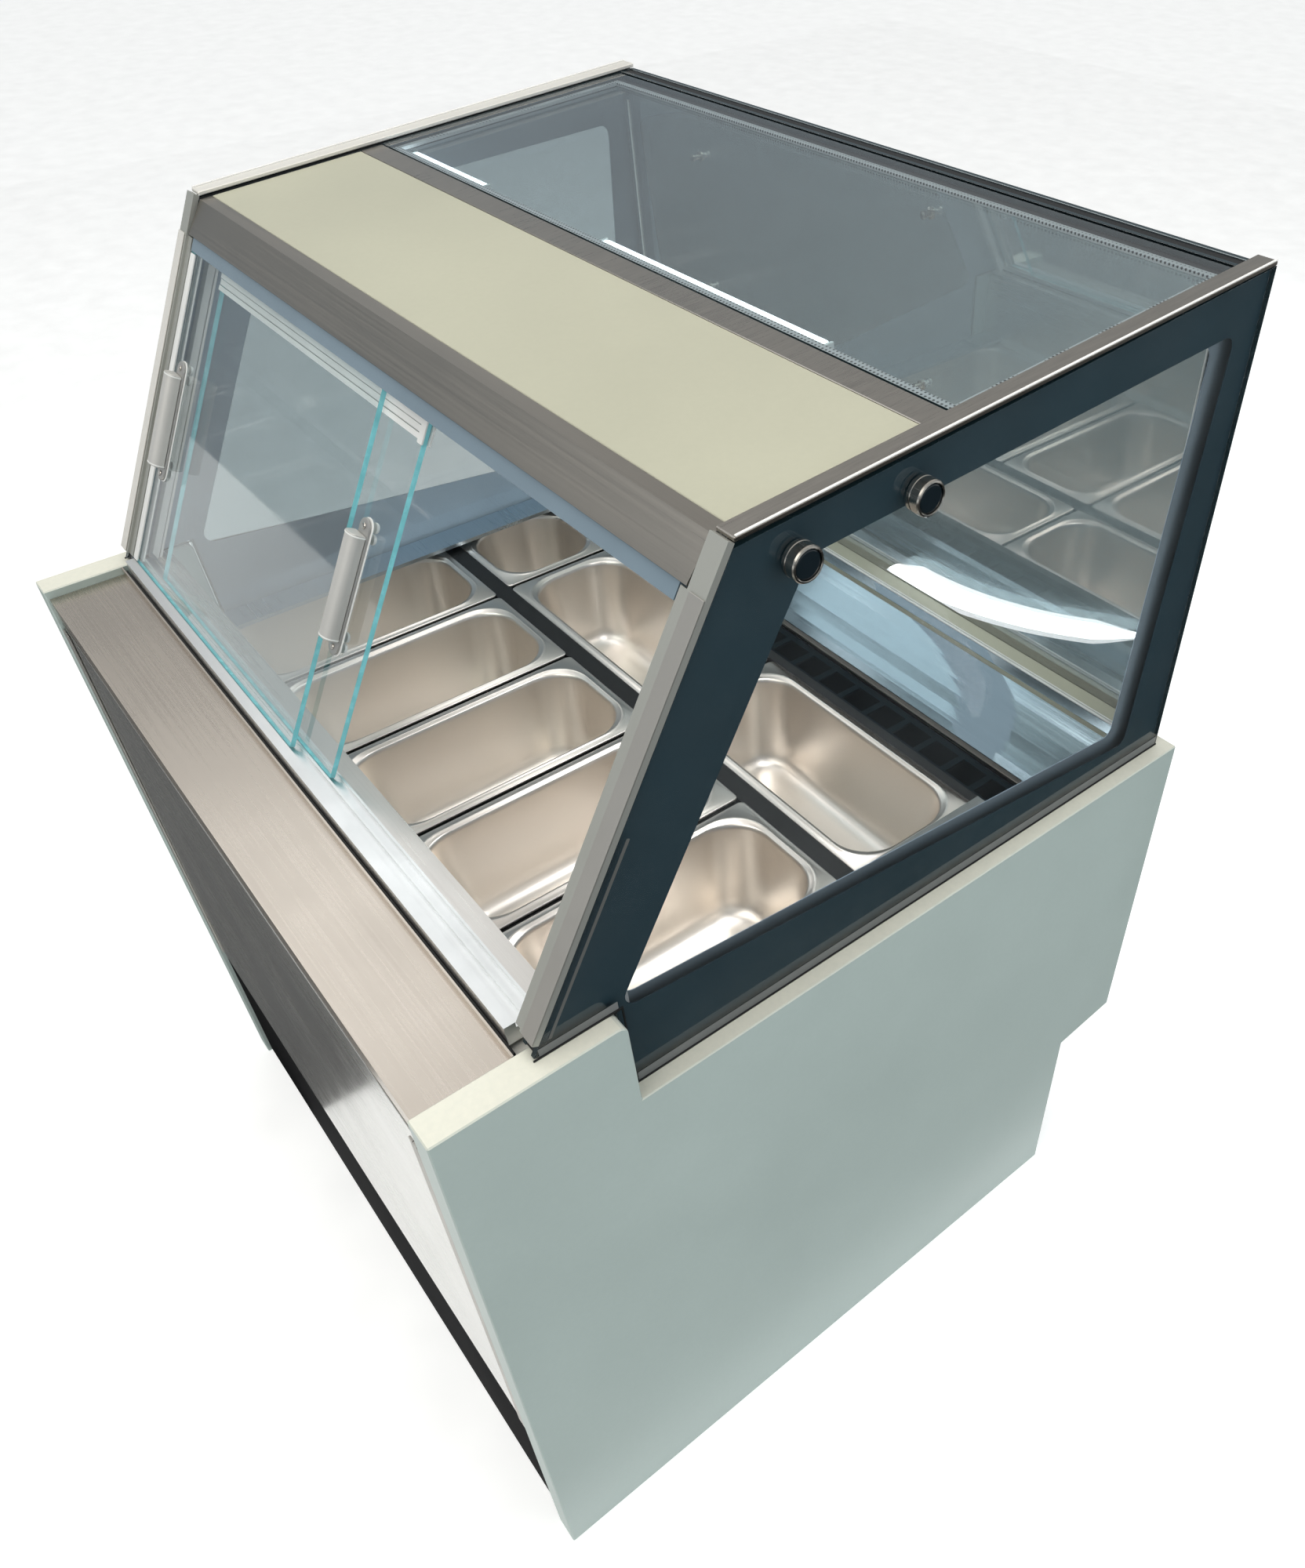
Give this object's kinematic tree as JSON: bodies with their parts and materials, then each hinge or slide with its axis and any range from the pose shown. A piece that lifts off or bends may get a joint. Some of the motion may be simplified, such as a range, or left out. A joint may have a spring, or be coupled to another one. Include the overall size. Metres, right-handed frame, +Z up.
{
  "type": "display freezer",
  "caption": "Serve-over display freezer for ice cream: glass canopy, sloping sliding doors, lift-out pans and an insulated tub over a machine space.",
  "frame": {"origin": "Centre of the footprint on the floor: middle of the length and of the depth, bottom of the feet.", "axes": "+Z up. +X along the length, to the right of someone standing at the service side facing the freezer. -Y is the service side with the sloping doors, +Y the customer side with the upright glass."},
  "size_m": [1, 0.928, 1.2789],
  "materials": {
    "sage_powder_coat": "powder coated sheet steel",
    "cream_paint": "satin cream paint on sheet steel",
    "black_steel": "black powder coated steel",
    "stainless": "brushed stainless sheet",
    "pan_steel": "satin pressed stainless",
    "satin_aluminium": "satin anodised extrusion",
    "coil_aluminium": "bare finned aluminium",
    "clear_glass": "clear toughened glass, printed border",
    "white_plastic": "white moulded plastic",
    "foam_skin": "foam-filled insulated body",
    "black_plastic": "black moulded plastic"
  },
  "bodies": {
    "cabinet": {"air_deflector": "stainless", "air_return_grille": "black_steel", "base_frame": "black_steel", "canopy_beam": "white_plastic", "canopy_knob_back_left": "stainless", "canopy_knob_back_right": "stainless", "canopy_knob_front_left": "stainless", "canopy_knob_front_right": "stainless", "canopy_lamp_left": "white_plastic", "canopy_lamp_right": "white_plastic", "canopy_lid": "cream_paint", "canopy_nose": "stainless", "canopy_rear_strip": "stainless", "compressor": "black_steel", "condenser": "coil_aluminium", "condenser_shroud": "black_plastic", "control_box": "black_plastic", "customer_glass": "clear_glass", "customer_kick_grille": "black_steel", "customer_ledge": "cream_paint", "customer_panel": "sage_powder_coat", "edge_profile_left": "satin_aluminium", "edge_profile_right": "satin_aluminium", "end_flange_left": "stainless", "end_flange_right": "stainless", "end_glass_left": "clear_glass", "end_glass_right": "clear_glass", "end_panel_left": "sage_powder_coat", "end_panel_right": "sage_powder_coat", "evaporation_tray": "black_plastic", "evaporator": "coil_aluminium", "evaporator_fan_plate": "stainless", "front_panel": "stainless", "front_plinth": "black_steel", "glass_rail": "satin_aluminium", "half_pan": "pan_steel", "insulated_tub": "foam_skin", "long_pan_5": "pan_steel", "lower_track": "satin_aluminium", "mains_inlet": "black_plastic", "pan_frame": "black_steel", "roof_glass": "clear_glass", "service_flange": "stainless", "top_trim_left": "stainless", "top_trim_right": "stainless", "tub_liner": "stainless", "upper_track": "white_plastic", "work_shelf": "stainless"},
    "left_door": {"door_left_glass": "clear_glass", "door_left_handle": "satin_aluminium"},
    "right_door": {"door_right_glass": "clear_glass", "door_right_handle": "satin_aluminium"},
    "long_pan_1_lift": {"long_pan_1": "pan_steel"},
    "long_pan_2_lift": {"long_pan_2": "pan_steel"},
    "long_pan_3_lift": {"long_pan_3": "pan_steel"},
    "long_pan_4_lift": {"long_pan_4": "pan_steel"},
    "cross_pan_1_lift": {"cross_pan_1": "pan_steel"},
    "cross_pan_2_lift": {"cross_pan_2": "pan_steel"},
    "condenser_fan_body": {"condenser_fan": "black_plastic"},
    "evaporator_fan_body": {"evaporator_fan": "black_plastic"}
  },
  "joints": [
    {"name": "right_door_slide", "type": "slide", "parent": "cabinet", "child": "right_door", "axis": [1, 0, 0], "range_m": [0, 0.375]},
    {"name": "left_door_slide", "type": "slide", "parent": "cabinet", "child": "left_door", "axis": [1, 0, 0], "range_m": [0, 0.008]},
    {"name": "long_pan_1_lift_out", "type": "slide", "parent": "cabinet", "child": "long_pan_1_lift", "axis": [0, 0, 1], "range_m": [0, 0.15]},
    {"name": "long_pan_2_lift_out", "type": "slide", "parent": "cabinet", "child": "long_pan_2_lift", "axis": [0, 0, 1], "range_m": [0, 0.15]},
    {"name": "long_pan_3_lift_out", "type": "slide", "parent": "cabinet", "child": "long_pan_3_lift", "axis": [0, 0, 1], "range_m": [0, 0.15]},
    {"name": "long_pan_4_lift_out", "type": "slide", "parent": "cabinet", "child": "long_pan_4_lift", "axis": [0, 0, 1], "range_m": [0, 0.15]},
    {"name": "cross_pan_1_lift_out", "type": "slide", "parent": "cabinet", "child": "cross_pan_1_lift", "axis": [0, 0, 1], "range_m": [0, 0.15]},
    {"name": "cross_pan_2_lift_out", "type": "slide", "parent": "cabinet", "child": "cross_pan_2_lift", "axis": [0, 0, 1], "range_m": [0, 0.15]},
    {"name": "condenser_fan_spin", "type": "hinge", "parent": "cabinet", "child": "condenser_fan_body", "pos_m": [0.17, 0.146, 0.178], "axis": [0, 1, 0], "continuous": true},
    {"name": "evaporator_fan_spin", "type": "hinge", "parent": "cabinet", "child": "evaporator_fan_body", "pos_m": [-0.04, -0.034, 0.542], "axis": [0, 1, 0], "continuous": true}
  ]
}
